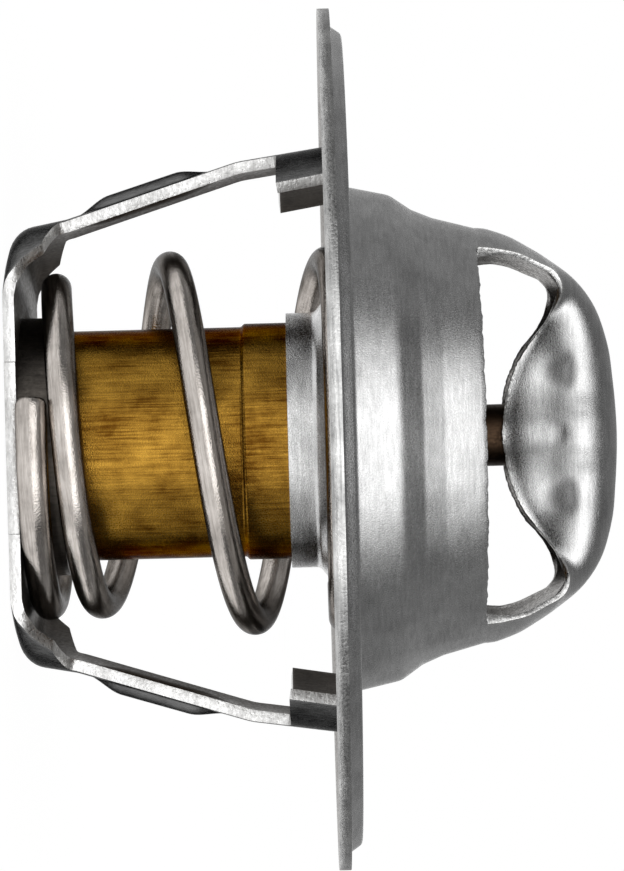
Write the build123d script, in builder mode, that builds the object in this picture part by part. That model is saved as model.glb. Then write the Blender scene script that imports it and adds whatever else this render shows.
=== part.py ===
from build123d import *
import math
import os

# Wax engine thermostat, standing on its lower frame with the valve axis along Z.
# The legs and the bridge strips lie in the XZ plane, and the bridge windows face Y.

# Clearances
running_clearance = 0.05
seat_clearance = 0.08
joint_gap = 0.02
hole_clearance = 0.35

# Flange and bell, one stamping with the bridge
sheet = 0.75
flange_r = 27.0
rim_width = 1.1
rim_ramp = 0.5
joggle = 0.73
flange_seat_z = 20.27
bell_root_r = 15.9
bell_knee_r = 15.3
bell_slope_r = 14.35
bell_neck_r = 13.8
sill_r = 13.1
bell_knee_rise = 2.75
bell_slope_rise = 4.1
bell_neck_rise = 5.4
sill_rise = 8.0
rim_bend = 0.3
ramp_bend = 0.4
root_bend = 0.3
knee_bend = 1.5
slope_bend = 1.2
neck_bend = 2.0

# Bridge over the windows, drawn thinner than the bell
bridge_sheet = 0.5
bridge_rise = 8.77
strip_root_x = 11.5
strip_half_width = 6.2
strip_foot = 0.5
neck_x = 8.7
neck_rise = 4.7
neck_half_width = 4.3
flap_tip_rise = 1.4
flap_pinch = 2.15
shoulder_reach = 5.3
dent_reach = 4.5
crown_share = 0.75

# Lower frame, one stamping
frame_sheet = 0.7
frame_corner_r = 13.65
leg_start_r = 14.3
leg_start_z = 3.5
leg_bend_r = 17.64
leg_bend_z = 14.3
leg_top_r = 18.5
corner_bend = 1.7
leg_start_bend = 2.0
leg_bend = 5.0
tongue_bend = 1.5
plate_half_width = 8.2
tab_half_length = 5.1
tab_step = 0.2
corner_half_width = 6.6
corner_top_z = 2.3
corner_round = 0.3
leg_half_width = 3.0
leg_root_z = 3.05
leg_root_round = 0.5
foot_half_width = 9.0
foot_length = 3.5
foot_round = 0.3
tongue_half_width = 3.0
collar_wall = 0.55
collar_top_z = 3.2
collar_lead = 0.4
bead_height = 0.65
bead_half_width = 1.9
bead_start_z = 3.9
bead_end_z = 12.9
bead_taper = 2.4
bead_round = 4.0

# Valve plate
valve_sheet = 0.57
valve_disc_rise = 0.23
valve_neck_length = 4.15
valve_flare_r = 8.95
valve_disc_r = 12.7
neck_straight_share = 0.43
neck_flare_share = 0.6
flare_bend = 0.5
seat_bend = 0.3
rim_turn_bend = 0.8

# Wax element
cup_r = 7.25
cup_step = 0.2
cup_step_length = 2.65
cup_bottom_z = 0.2
cup_wall = 0.9
cup_lip = 0.7
cup_edge = 0.8
cup_grip = 3.6
guide_stem_r = 3.6
guide_stem_length = 6.3
guide_flange = 1.9
guide_chamfer = 0.5
washer_thickness = 0.5
sleeve_flange = 1.0
sleeve_wall = 1.05
sleeve_depth = 10.6
piston_r = 1.95
piston_point = 0.9

# Return spring
wire_r = 0.96
coil_r_low = 9.97
coil_r_high = 11.25
spring_turns = 3.4
closed_pitch = 0.4
lift_pitch = 4.8
lift_turns = (0.5, 0.8)
open_turns = (1.2, 1.5)
widen_turns = (1.3, 1.9)
close_turns = (2.75, 2.95)
start_turn = -0.05
points_per_turn = 16

# Places that follow from the sizes above
flange_top_z = flange_seat_z + sheet
sill_z = flange_top_z + sill_rise
bridge_top_z = sill_z + bridge_rise
spring_seat_z = flange_top_z + valve_disc_rise
valve_neck_z = spring_seat_z - valve_neck_length
element_top_z = valve_neck_z + cup_grip
cup_step_r = cup_r + cup_step
cup_step_z = valve_neck_z - cup_step_length
cup_bore_r = cup_r - cup_wall
cup_floor_z = cup_bottom_z + cup_wall
hole_r = cup_r + hole_clearance
fill_r = cup_bore_r - joint_gap
guide_top_z = element_top_z - cup_lip
guide_bottom_z = guide_top_z - guide_flange
washer_bottom_z = guide_bottom_z - washer_thickness
wax_top_z = washer_bottom_z - sleeve_flange
sleeve_floor_z = washer_bottom_z - sleeve_depth
bore_r = piston_r + running_clearance
sleeve_r = bore_r + sleeve_wall
piston_bottom_z = sleeve_floor_z + running_clearance
piston_top_z = bridge_top_z - bridge_sheet - 2 * running_clearance
flap_hug = piston_r + 2 * running_clearance + bridge_sheet
foot_z = flange_seat_z - foot_length
tongue_top_z = flange_top_z - running_clearance

os.makedirs("parts", exist_ok=True)


def sheet_section(points, radii, thickness):
    """Draw a bent sheet's cross section in XZ: a rounded line thickened to its left."""
    with BuildSketch(Plane.XZ) as section:
        with BuildLine():
            FilletPolyline(*points, radius=radii)
            offset(amount=thickness, side=Side.LEFT)
        make_face()
    return section.sketch


def turned_section(*points):
    """Draw a closed XZ outline of straight runs, for a turned piece."""
    with BuildSketch(Plane.XZ) as section:
        with BuildLine():
            Polyline(*points, close=True)
        make_face()
    return section.sketch


def finish(part, name):
    """Name a piece and write its file."""
    part.label = name
    export_step(part, f"parts/{name}.step")


def inner_line(outer, thickness):
    """Move a control polygon inwards by a thickness, with its corners mitred."""
    points = [Vector(*point) for point in outer]
    normals = [Vector(0, 1)]
    for start, end in zip(points, points[1:]):
        along = (end - start).normalized()
        normals.append(Vector(-along.Y, along.X))
    normals.append(normals[-1])
    moved = []
    for point, before, after in zip(points, normals, normals[1:]):
        middle = (before + after).normalized()
        moved.append(point + middle * (thickness / middle.dot(after)))
    return [(point.X, point.Y) for point in moved]


def bridge_section(spine, edge, reach, fold):
    """Draw the bridge sheet's cross section from its spine down to both cut edges.

    A fold of 0 is a gently crowned strip, and a fold of 1 is a flap bent over a shoulder.
    """
    drop = Vector(edge[0] - spine[0], 0, edge[2] - spine[1])
    depth = drop.length
    crown = edge[1] / 3 * (1 - fold) + reach * crown_share * fold
    shoulder = edge[1] * 2 / 3 * (1 - fold) + reach * fold
    outer = [(0, 0), (crown, 0), (shoulder, depth / 3), (edge[1], depth)]
    inner = inner_line(outer, bridge_sheet)
    half = outer + inner[::-1]
    other = [(-across, down) for across, down in half]
    plane = Plane(origin=(spine[0], 0, spine[1]), x_dir=(0, 1, 0), z_dir=(drop.Z, 0, -drop.X))
    with BuildSketch(plane) as section:
        with BuildLine():
            for side in (half, other):
                Bezier(*side[:4])
                Line(side[3], side[4])
                Bezier(*side[4:])
        make_face()
    return section.sketch


def strip_station(spine_share, rise_share, edge_share, width_share, edge_rise_share, fold=0):
    """Place one section of a bridge strip, by shares of the way from its root to the neck."""
    spine = (sill_r * spine_share - joint_gap, sill_z + bridge_rise * rise_share)
    edge_x = strip_root_x + (neck_x - strip_root_x) * edge_share
    edge_y = strip_half_width + (neck_half_width - strip_half_width) * width_share
    return spine, (edge_x, edge_y, sill_z + neck_rise * edge_rise_share), shoulder_reach, fold


def flap_station(spine_share, rise_share, edge_share, edge_y, edge_rise_share, reach_share, fold=1):
    """Place one section of the flaps, by shares of the way from the piston to the neck."""
    spine = (sill_r * spine_share, sill_z + bridge_rise * rise_share)
    edge_z = sill_z + flap_tip_rise + (neck_rise - flap_tip_rise) * edge_rise_share
    reach = dent_reach + (shoulder_reach - dent_reach) * reach_share
    return spine, (neck_x * edge_share, edge_y, edge_z), reach, fold


# Bridge: a sheet carried across from strip to strip, its middle folded down to hug the piston
foot_share = strip_foot / bridge_rise
foot_edge_share = strip_foot / neck_rise
stations = [
    strip_station(1, -foot_share, 0, 0, -foot_edge_share),
    strip_station(1, 0.02, 0, 0.05, 0.04),
    strip_station(0.99, 0.11, 0.04, 0.16, 0.21),
    strip_station(0.955, 0.25, 0.14, 0.32, 0.48),
    strip_station(0.91, 0.37, 0.32, 0.58, 0.7),
    strip_station(0.85, 0.51, 0.57, 0.79, 0.94),
    strip_station(0.74, 0.72, 1, 1, 1, fold=0.3),
    flap_station(0.6, 0.865, 0.79, flap_pinch + (neck_half_width - flap_pinch) * 0.42, 0.73, 1, fold=0.8),
    flap_station(0.42, 0.95, 0.56, flap_pinch + (neck_half_width - flap_pinch) * 0.11, 0.35, 0.4),
    flap_station(0.26, 0.98, 0.37, flap_pinch, 0.15, 0),
    flap_station(0.12, 0.995, 0.17, flap_hug * 0.84, 0.045, 0.7),
]
middle_station = flap_station(0, 1, 0, flap_hug, 0, 1)
mirrored = []
for spine, edge, reach, fold in stations:
    mirrored.append(((-spine[0], spine[1]), (-edge[0], edge[1], edge[2]), reach, fold))

with BuildPart() as bridge:
    loft([bridge_section(*station) for station in [*mirrored, middle_station, *stations[::-1]]])

# Upper frame: flange and bell turned from one sheet section, joined by the bridge
knee = Vector(bell_knee_r, flange_top_z + bell_knee_rise)
slope = Vector(bell_slope_r, flange_top_z + bell_slope_rise)
bell_points = [
    (flange_r, flange_top_z - joggle),
    (flange_r - rim_width, flange_top_z - joggle),
    (flange_r - rim_width - rim_ramp, flange_top_z),
    (bell_root_r, flange_top_z),
    (knee.X, knee.Y),
    (slope.X, slope.Y),
    (bell_neck_r, flange_top_z + bell_neck_rise),
    (sill_r, sill_z),
]
bell_bends = [rim_bend, ramp_bend, root_bend, knee_bend, slope_bend, neck_bend]
tongue_inner_x = math.sqrt((leg_top_r - frame_sheet) ** 2 - tongue_half_width**2)
slot_x = (leg_top_r + tongue_inner_x) / 2
slot_width = leg_top_r - tongue_inner_x + 2 * running_clearance
with BuildPart() as upper_frame:
    revolve(sheet_section(bell_points, bell_bends, sheet), axis=Axis.Z)
    add(bridge.part)
    with BuildSketch(Plane.XY.offset(flange_seat_z)):
        with Locations((slot_x, 0), (-slot_x, 0)):
            Rectangle(slot_width, 2 * (tongue_half_width + running_clearance))
    extrude(amount=sheet, mode=Mode.SUBTRACT)
finish(upper_frame.part, "upper_frame")

# Lower frame: a turned dish trimmed to a plate, two legs and two feet
dish_points = [
    (hole_r, 0),
    (frame_corner_r, 0),
    (leg_start_r, leg_start_z),
    (leg_bend_r, leg_bend_z),
    (leg_top_r, flange_seat_z),
    (leg_top_r, tongue_top_z),
]
dish_bends = [corner_bend, leg_start_bend, leg_bend, tongue_bend]
trim_points = [
    (0, -frame_sheet),
    (plate_half_width, -frame_sheet),
    (plate_half_width, frame_sheet),
    (corner_half_width, corner_top_z),
    (leg_half_width, leg_root_z),
    (leg_half_width, foot_z),
    (foot_half_width, foot_z),
    (foot_half_width, flange_seat_z),
    (tongue_half_width, flange_seat_z),
    (tongue_half_width, tongue_top_z + frame_sheet),
    (0, tongue_top_z + frame_sheet),
]
trim_rounds = [0, 0, corner_round, leg_root_round, foot_round, 0, 0, 0, 0]
leg_start = Vector(leg_start_r, 0, leg_start_z)
leg_run = (Vector(leg_bend_r, 0, leg_bend_z) - leg_start).normalized()
leg_out = Vector(leg_run.Z, 0, -leg_run.X)
bead_r = (bead_height**2 + bead_half_width**2) / (2 * bead_height)
bead_length = (bead_end_z - bead_start_z) / leg_run.Z
bead_start = leg_start + leg_run * ((bead_start_z - leg_start_z) / leg_run.Z)
bead_middle = bead_start - leg_out * (bead_r - bead_height)
bead_plane = Plane(origin=bead_middle, x_dir=leg_out, z_dir=leg_out.cross(leg_run))
bead_axis = Axis(bead_middle, leg_run)


def bead_section(inset):
    """Draw half of the rod that a bead is pressed over, its ends tapered, inset from the bead's face."""
    end_r = bead_r - bead_height - inset
    points = [
        (0, 0),
        (end_r, 0),
        (bead_r - inset, bead_taper),
        (bead_r - inset, bead_length - bead_taper),
        (end_r, bead_length),
        (0, bead_length),
    ]
    with BuildSketch(bead_plane) as section:
        with BuildLine():
            FilletPolyline(*points, radius=[0, bead_round, bead_round, 0])
            Line(points[-1], points[0])
        make_face()
    return section.sketch


with BuildPart() as groove:
    revolve(bead_section(frame_sheet), axis=bead_axis)

with BuildPart() as bead:
    revolve(bead_section(0), axis=bead_axis)
    add(groove.part, mode=Mode.SUBTRACT)
    split(bisect_by=Plane(origin=bead_start - leg_out * (frame_sheet / 2), z_dir=leg_out))

with BuildPart() as lower_frame:
    revolve(sheet_section(dish_points, dish_bends, frame_sheet), axis=Axis.Z)
    with BuildSketch(Plane.YZ):
        with BuildLine():
            FilletPolyline(*trim_points, radius=trim_rounds)
            Line(trim_points[-1], trim_points[0])
        make_face()
        mirror(about=Plane.YZ)
    extrude(amount=flange_r, both=True, mode=Mode.INTERSECT)
    with BuildSketch():
        Rectangle(2 * tab_half_length, 2 * (plate_half_width + tab_step))
        Circle(hole_r, mode=Mode.SUBTRACT)
    extrude(amount=frame_sheet)
    with BuildSketch():
        Circle(hole_r + collar_wall)
        Circle(hole_r, mode=Mode.SUBTRACT)
    extrude(amount=collar_top_z)
    low_rims = lower_frame.edges().filter_by(GeomType.CIRCLE).group_by(Axis.Z)[0]
    fillet(low_rims.sort_by(SortBy.RADIUS)[0], collar_lead)
    add(bead.part)
    mirror(bead.part, about=Plane.YZ)
    add(groove.part, mode=Mode.SUBTRACT)
    mirror(groove.part, about=Plane.YZ, mode=Mode.SUBTRACT)
finish(lower_frame.part, "lower_frame")

# Valve plate: a disc with a drawn neck, its rim just under the slope inside the bell
rim_inset = (slope - knee).normalized().rotate(Axis.Z, 90) * (sheet + seat_clearance)
valve_rim = (knee + slope) / 2 + rim_inset
valve_neck_r = cup_step_r + joint_gap + valve_sheet
flare_z = valve_neck_z + valve_neck_length * neck_flare_share
valve_points = [
    (valve_neck_r, valve_neck_z),
    (valve_neck_r, valve_neck_z + valve_neck_length * neck_straight_share),
    (valve_flare_r, flare_z),
    (valve_flare_r, spring_seat_z),
    (valve_disc_r, spring_seat_z),
    (valve_rim.X, valve_rim.Y),
]
valve_bends = [flare_bend, seat_bend, seat_bend, rim_turn_bend]
with BuildPart() as valve_plate:
    revolve(sheet_section(valve_points, valve_bends, valve_sheet), axis=Axis.Z)
finish(valve_plate.part, "valve_plate")

# Wax element: a drawn cup closed by its guide, with the wax, the sleeve and a washer inside
with BuildPart() as element_cup:
    revolve(
        turned_section(
            (0, cup_bottom_z),
            (cup_r, cup_bottom_z),
            (cup_r, cup_step_z - cup_step),
            (cup_step_r, cup_step_z),
            (cup_step_r, element_top_z),
            (guide_stem_r + cup_wall, element_top_z),
            (guide_stem_r + cup_wall, guide_top_z),
            (cup_bore_r, guide_top_z),
            (cup_bore_r, cup_floor_z),
            (0, cup_floor_z),
        ),
        axis=Axis.Z,
    )
    fillet(element_cup.edges().filter_by(GeomType.CIRCLE).sort_by(Axis.Z)[0], cup_edge)
finish(element_cup.part, "element_cup")

with BuildPart() as guide:
    revolve(
        turned_section(
            (bore_r, guide_bottom_z),
            (fill_r, guide_bottom_z),
            (fill_r, guide_top_z),
            (guide_stem_r, guide_top_z),
            (guide_stem_r, guide_top_z + guide_stem_length),
            (bore_r, guide_top_z + guide_stem_length),
        ),
        axis=Axis.Z,
    )
    stem_rims = guide.edges().filter_by(GeomType.CIRCLE).group_by(Axis.Z)[-1]
    chamfer(stem_rims.sort_by(SortBy.RADIUS)[-1], guide_chamfer)
finish(guide.part, "guide")

with BuildPart() as backup_washer:
    with BuildSketch(Plane.XY.offset(washer_bottom_z)):
        Circle(fill_r)
        Circle(bore_r, mode=Mode.SUBTRACT)
    extrude(amount=washer_thickness)
finish(backup_washer.part, "backup_washer")

with BuildPart() as rubber_sleeve:
    revolve(
        turned_section(
            (0, sleeve_floor_z - sleeve_wall),
            (sleeve_r, sleeve_floor_z - sleeve_wall),
            (sleeve_r, wax_top_z),
            (fill_r, wax_top_z),
            (fill_r, washer_bottom_z),
            (bore_r, washer_bottom_z),
            (bore_r, sleeve_floor_z),
            (0, sleeve_floor_z),
        ),
        axis=Axis.Z,
    )
finish(rubber_sleeve.part, "rubber_sleeve")

with BuildPart() as wax_pellet:
    with BuildSketch(Plane.XY.offset(cup_floor_z)):
        Circle(fill_r)
    extrude(amount=wax_top_z - cup_floor_z)
    with BuildSketch(Plane.XY.offset(wax_top_z)):
        Circle(sleeve_r + joint_gap)
    extrude(amount=sleeve_floor_z - sleeve_wall - wax_top_z, mode=Mode.SUBTRACT)
finish(wax_pellet.part, "wax_pellet")

with BuildPart() as piston:
    with BuildSketch(Plane.XY.offset(piston_bottom_z)):
        Circle(piston_r)
    extrude(amount=piston_top_z - piston_bottom_z)
    chamfer(piston.edges().group_by(Axis.Z)[-1], piston_point)
finish(piston.part, "piston")


def ramp(turn, start, end):
    """Give the turns gained by a slope that grows evenly from 0 to 1 between two turns."""
    if turn <= start:
        return 0
    if turn >= end:
        return turn - (start + end) / 2
    return (turn - start) ** 2 / (2 * (end - start))


def step(turn, start, end):
    """Give a smooth step from 0 to 1 between two turns."""
    share = min(max((turn - start) / (end - start), 0), 1)
    return share**2 * (3 - 2 * share)


# Return spring: a round wire on a helix, close wound at the foot, widening and lying flat under the valve
spring_low_z = frame_sheet + wire_r + joint_gap
spring_high_z = spring_seat_z - wire_r - joint_gap


def stretches(turn):
    """Give the turns wound closed, lifting off and open, up to a turn."""
    lifted = ramp(turn, *lift_turns)
    opened = ramp(turn, *open_turns)
    return turn - lifted, lifted - opened, opened - ramp(turn, *close_turns)


closed_share, lift_share, open_share = stretches(spring_turns)
wound_height = closed_pitch * closed_share + lift_pitch * lift_share
open_pitch = (spring_high_z - spring_low_z - wound_height) / open_share


def wire_point(turn):
    """Give the wire's middle after some turns from its lower end, which lies at the front."""
    closed, lifted, opened = stretches(turn)
    radius = coil_r_low + (coil_r_high - coil_r_low) * step(turn, *widen_turns)
    angle = 2 * math.pi * (start_turn + turn)
    height = spring_low_z + closed_pitch * closed + lift_pitch * lifted + open_pitch * opened
    return radius * math.sin(angle), -radius * math.cos(angle), height


wire_steps = round(spring_turns * points_per_turn)
with BuildPart() as return_spring:
    with BuildLine() as wire:
        Spline(*[wire_point(spring_turns * step / wire_steps) for step in range(wire_steps + 1)])
    with BuildSketch(Plane(origin=wire.line @ 0, z_dir=wire.line % 0)):
        Circle(wire_r)
    sweep(path=wire.line, is_frenet=True)
finish(return_spring.part, "return_spring")
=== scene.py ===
# %% [markdown]
# # A wax coolant valve, dressed
# The imported model gives every piece its place, in metres, with the valve axis along Z.
# We load it. The surfaces below are drawn in millimetres.

# %% Load the frame
import math

import bmesh
import bpy
import numpy as np
from mathutils import Matrix, Vector


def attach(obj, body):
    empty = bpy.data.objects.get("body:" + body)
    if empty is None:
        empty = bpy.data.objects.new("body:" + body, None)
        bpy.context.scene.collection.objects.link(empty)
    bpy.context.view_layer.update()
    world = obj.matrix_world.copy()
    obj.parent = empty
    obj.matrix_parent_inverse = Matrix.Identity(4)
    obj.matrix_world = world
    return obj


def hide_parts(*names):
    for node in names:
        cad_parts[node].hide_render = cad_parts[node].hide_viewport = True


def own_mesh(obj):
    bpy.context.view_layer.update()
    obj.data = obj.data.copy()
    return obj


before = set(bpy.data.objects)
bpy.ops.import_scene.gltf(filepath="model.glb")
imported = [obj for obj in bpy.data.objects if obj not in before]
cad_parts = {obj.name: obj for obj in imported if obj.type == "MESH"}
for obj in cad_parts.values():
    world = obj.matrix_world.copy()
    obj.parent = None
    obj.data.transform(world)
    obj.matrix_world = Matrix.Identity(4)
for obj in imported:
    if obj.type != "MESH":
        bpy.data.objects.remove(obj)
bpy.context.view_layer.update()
MM = 0.001

# %% [markdown]
# The photograph looks straight at the side of the valve, with the axis lying across the picture.
# The real part stands on its lower frame, so the camera is rolled a quarter turn instead of the part.
# A camera could be aimed with constraints; writing its three axes down keeps the tilt exact.

# %% Camera
CAMERA_DISTANCE = 200 * MM
PIXELS_PER_MM = 15.82
LONG_SIDE_PIXELS = 871
SENSOR_MM = 36.0
TILT = math.radians(1.53)
AIM_HEIGHT = 18.55 * MM
AIM_LIFT = 0.28 * MM

right = Vector((math.sin(TILT), 0, math.cos(TILT)))
up = Vector((-math.cos(TILT), 0, math.sin(TILT)))
back = right.cross(up)
camera_data = bpy.data.cameras.new("camera")
camera_data.sensor_width = SENSOR_MM
camera_data.lens = PIXELS_PER_MM * SENSOR_MM / LONG_SIDE_PIXELS * CAMERA_DISTANCE / MM
camera_data.clip_start = 0.005
camera = bpy.data.objects.new("camera", camera_data)
bpy.context.scene.collection.objects.link(camera)
place = Vector((0, 0, AIM_HEIGHT)) + up * AIM_LIFT + back * CAMERA_DISTANCE
axes = Matrix((right, up, back)).transposed().to_4x4()
camera.matrix_world = Matrix.Translation(place) @ axes
bpy.context.scene.camera = camera
bpy.context.scene.view_settings.view_transform = "Standard"
print("lens", round(camera_data.lens, 1), "mm")

# %% [markdown]
# Every surface below is a grid of points worked out at once with numpy.
# Three helpers recur: one joins neighbouring points of a grid into quads, one rounds the corners of
# a profile line as a press tool does, and one adds points along its straight runs.

# %% Grid helpers
def grid_quads(rows, columns, closed=False, start=0):
    """Quads of a rows by columns grid, row major; closed joins the last column to the first."""
    across = columns if closed else columns - 1
    row, column = np.meshgrid(np.arange(rows - 1), np.arange(across), indexing="ij")
    after = (column + 1) % columns
    corners = [row * columns + column, row * columns + after,
               (row + 1) * columns + after, (row + 1) * columns + column]
    return np.stack(corners, axis=-1).reshape(-1, 4) + start


def rounded_line(points, radii, arc_points=7):
    """A line of straight runs whose inner corners are arcs of the given radii."""
    points = np.asarray(points, float)
    line = [points[0]]
    for before, corner, after, radius in zip(points, points[1:], points[2:], radii):
        into = (corner - before) / np.linalg.norm(corner - before)
        away = (after - corner) / np.linalg.norm(after - corner)
        turn = math.atan2(into[0] * away[1] - into[1] * away[0], into @ away)
        reach = radius * abs(math.tan(turn / 2))
        side = np.array([-into[1], into[0]]) * np.sign(turn)
        centre = corner - into * reach + side * radius
        angles = np.linspace(0, turn, arc_points)[:, None]
        spoke = -side * radius
        swung = np.hstack([spoke[0] * np.cos(angles) - spoke[1] * np.sin(angles),
                           spoke[0] * np.sin(angles) + spoke[1] * np.cos(angles)])
        line.extend(centre + swung)
    line.append(points[-1])
    return np.array(line)


def resample(line, step):
    """Add points along the straight runs of a line, no further apart than a step."""
    out = [line[:1]]
    for start, end in zip(line, line[1:]):
        count = max(1, math.ceil(np.linalg.norm(end - start) / step))
        out.append(start + (end - start) * np.linspace(0, 1, count + 1)[1:, None])
    return np.vstack(out)


print("a grid of 3 by 4 points has", len(grid_quads(3, 4)), "quads")

# %% [markdown]
# The upper frame is pressed from one sheet: a flat flange, a bell, and two strips that rise from the
# bell and join over the piston. It could be spun and bridged by hand in edit mode.
# The flange and bell are round, so a profile of radius and height is all that they need.

# %% Profile of the flange and bell
FLANGE_RADIUS, FLANGE_TOP, RIM_DROP = 27.0, 21.02, 0.73
SILL_RADIUS, SILL = 13.1, 29.02
BELL_STEP = 0.5

rim_height = FLANGE_TOP - RIM_DROP
bell_line = rounded_line(
    [(FLANGE_RADIUS, rim_height), (FLANGE_RADIUS - 1.1, rim_height), (FLANGE_RADIUS - 1.6, FLANGE_TOP),
     (15.9, FLANGE_TOP), (15.3, FLANGE_TOP + 2.75), (14.35, FLANGE_TOP + 4.1), (13.8, FLANGE_TOP + 5.4),
     (SILL_RADIUS, SILL)],
    [0.3, 0.4, 0.3, 1.5, 1.2, 2.0])
bell_line = resample(bell_line, BELL_STEP)
print("bell profile of", len(bell_line), "points")

# %% [markdown]
# The flange has a slot for each tongue of the lower frame, which is staked in it.
# A Boolean could cut them; in a grid it is cleaner to lay two rings along the slot's long sides,
# straighten them there and leave the quads between them out.

# %% Rings and slots
BELL_COLUMNS = 360
SLOT_COLUMNS = 10
SLOT_IN, SLOT_OUT, SLOT_HALF_WIDTH = 17.5, 18.55, 3.05

from_slot = np.abs(bell_line[:, 0] - (SLOT_IN + SLOT_OUT) / 2)
near_slot = (from_slot < SLOT_OUT - SLOT_IN) & (bell_line[:, 1] == FLANGE_TOP)
slot_row = int(np.argmax(near_slot))
slot_sides = [(SLOT_OUT, FLANGE_TOP), (SLOT_IN, FLANGE_TOP)]
bell_line = np.insert(bell_line[~near_slot], slot_row, slot_sides, axis=0)

bell_angle = 2 * np.pi * np.arange(BELL_COLUMNS) / BELL_COLUMNS
bell = np.stack([bell_line[:, :1] * np.cos(bell_angle), bell_line[:, :1] * np.sin(bell_angle),
                 np.repeat(bell_line[:, 1:], BELL_COLUMNS, axis=1)], axis=-1)
across = np.arange(-SLOT_COLUMNS, SLOT_COLUMNS + 1)
kept = np.ones((len(bell_line) - 1, BELL_COLUMNS), bool)
for side, middle in ((1, 0), (-1, BELL_COLUMNS // 2)):
    columns = (middle + side * across) % BELL_COLUMNS
    bell[slot_row, columns, 0] = side * SLOT_OUT
    bell[slot_row + 1, columns, 0] = side * SLOT_IN
    bell[slot_row:slot_row + 2, columns, 1] = SLOT_HALF_WIDTH * across / SLOT_COLUMNS
    kept[slot_row, (middle + across[:-1]) % BELL_COLUMNS] = False
bell_quads = grid_quads(len(bell_line), BELL_COLUMNS, closed=True)[kept.ravel()]
print("bell", bell.shape, "rings by columns")

# %% [markdown]
# The strips grow out of the bell's upper edge, turn over at a shoulder and fold down into two flaps
# that are pinched round the piston. A sculptor would push this out of a plane.
# Here a few stations give the spine, the cut edge and how hard the sheet is folded, as shares of
# the bridge's main sizes, and a smooth curve joins them.

# %% Bridge stations
BRIDGE_RISE = 8.77
ROOT_X, ROOT_Y, NECK_X, NECK_Y, NECK_RISE = 11.56, 6.15, 8.7, 4.3, 5.2
TIP_RISE, PINCH, FLAP_HUG = 1.4, 2.15, 2.55
SHOULDER_REACH, DENT_REACH = 4.8, 4.1

def bridge_stations():
    """Stations from the root to the middle: spine X and Z, edge X, Y and Z, reach and fold."""
    strip = np.array([[1, 0, 0, 0, 0, 0], [0.998, 0.05, 0.015, 0.09, 0.1, 0],
                      [0.99, 0.11, 0.04, 0.16, 0.21, 0], [0.955, 0.25, 0.14, 0.32, 0.48, 0],
                      [0.91, 0.37, 0.32, 0.58, 0.7, 0], [0.85, 0.51, 0.57, 0.79, 0.94, 0],
                      [0.74, 0.72, 1, 1, 1, 0.3]])
    flap = np.array([[0.6, 0.865, 0.79, PINCH + 0.42 * (NECK_Y - PINCH), 0.73, 1, 0.8],
                     [0.42, 0.95, 0.56, PINCH + 0.11 * (NECK_Y - PINCH), 0.35, 0.4, 1],
                     [0.26, 0.98, 0.37, PINCH, 0.15, 0, 1],
                     [0.12, 0.995, 0.17, 0.84 * FLAP_HUG, 0.045, 0.7, 1],
                     [0, 1, 0, FLAP_HUG, 0, 1, 1]])
    strip_rows = [strip[:, 0] * SILL_RADIUS, SILL + BRIDGE_RISE * strip[:, 1],
                  ROOT_X + (NECK_X - ROOT_X) * strip[:, 2], ROOT_Y + (NECK_Y - ROOT_Y) * strip[:, 3],
                  SILL + NECK_RISE * strip[:, 4], np.full(len(strip), SHOULDER_REACH), strip[:, 5]]
    flap_rows = [flap[:, 0] * SILL_RADIUS, SILL + BRIDGE_RISE * flap[:, 1],
                 NECK_X * flap[:, 2], flap[:, 3],
                 SILL + TIP_RISE + (NECK_RISE - TIP_RISE) * flap[:, 4],
                 DENT_REACH + (SHOULDER_REACH - DENT_REACH) * flap[:, 5], flap[:, 6]]
    half = np.hstack([strip_rows, flap_rows]).T
    mirrored = half[-2::-1] * np.array([-1, 1, -1, 1, 1, 1, 1])
    return np.vstack([half, mirrored])


print("bridge stations:", len(bridge_stations()))

# %% [markdown]
# Each cross section of the bridge is one Bezier curve on either side of its spine, as in the press
# tool. The first and last rows are the bell's own points, so that the sheet has no seam.
# The last column is kept as a narrow lip of even width along the cut edge.

# %% Bridge surface
BRIDGE_ROWS = 221
STRIP_COLUMNS = 28
LIP_WIDTH = 0.22
CROWN_SHARE = 0.75

def smooth_through(stations, samples):
    """A cubic curve through rows of stations, with each slope taken from the two neighbours."""
    stations = np.asarray(stations, float)
    slopes = np.gradient(stations, axis=0)
    place = np.linspace(0, len(stations) - 1, samples)
    first = np.minimum(place.astype(int), len(stations) - 2)
    t = (place - first)[:, None]
    a, b = stations[first], stations[first + 1]
    da, db = slopes[first], slopes[first + 1]
    return ((2 * t**3 - 3 * t**2 + 1) * a + (t**3 - 2 * t**2 + t) * da
            + (3 * t**2 - 2 * t**3) * b + (t**3 - t**2) * db)


def bridge_surface(rows, columns):
    """Cross sections along the stations: each half is a cubic Bezier from the spine to the cut edge,
    with its two middle points moved out to the reach as the fold grows."""
    stations = smooth_through(bridge_stations(), rows).T[:, :, None]
    spine_x, spine_z, edge_x, edge_y, edge_z, reach, fold = stations
    drop_x, drop_z = edge_x - spine_x, edge_z - spine_z
    crown = edge_y / 3 * (1 - fold) + CROWN_SHARE * reach * fold
    shoulder = edge_y * 2 / 3 * (1 - fold) + reach * fold
    lip = LIP_WIDTH / np.hypot(3 * (edge_y - shoulder), 2 * np.hypot(drop_x, drop_z))
    half = np.hstack([(1 - lip) * np.linspace(0, 1, columns // 2), np.ones((rows, 1))])
    v = np.hstack([-half[:, :0:-1], half])
    t = np.abs(v)
    y = np.sign(v) * (3 * (1 - t)**2 * t * crown + 3 * (1 - t) * t**2 * shoulder + t**3 * edge_y)
    return np.stack([spine_x + drop_x * t**2, y, spine_z + drop_z * t**2], axis=-1)


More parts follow.
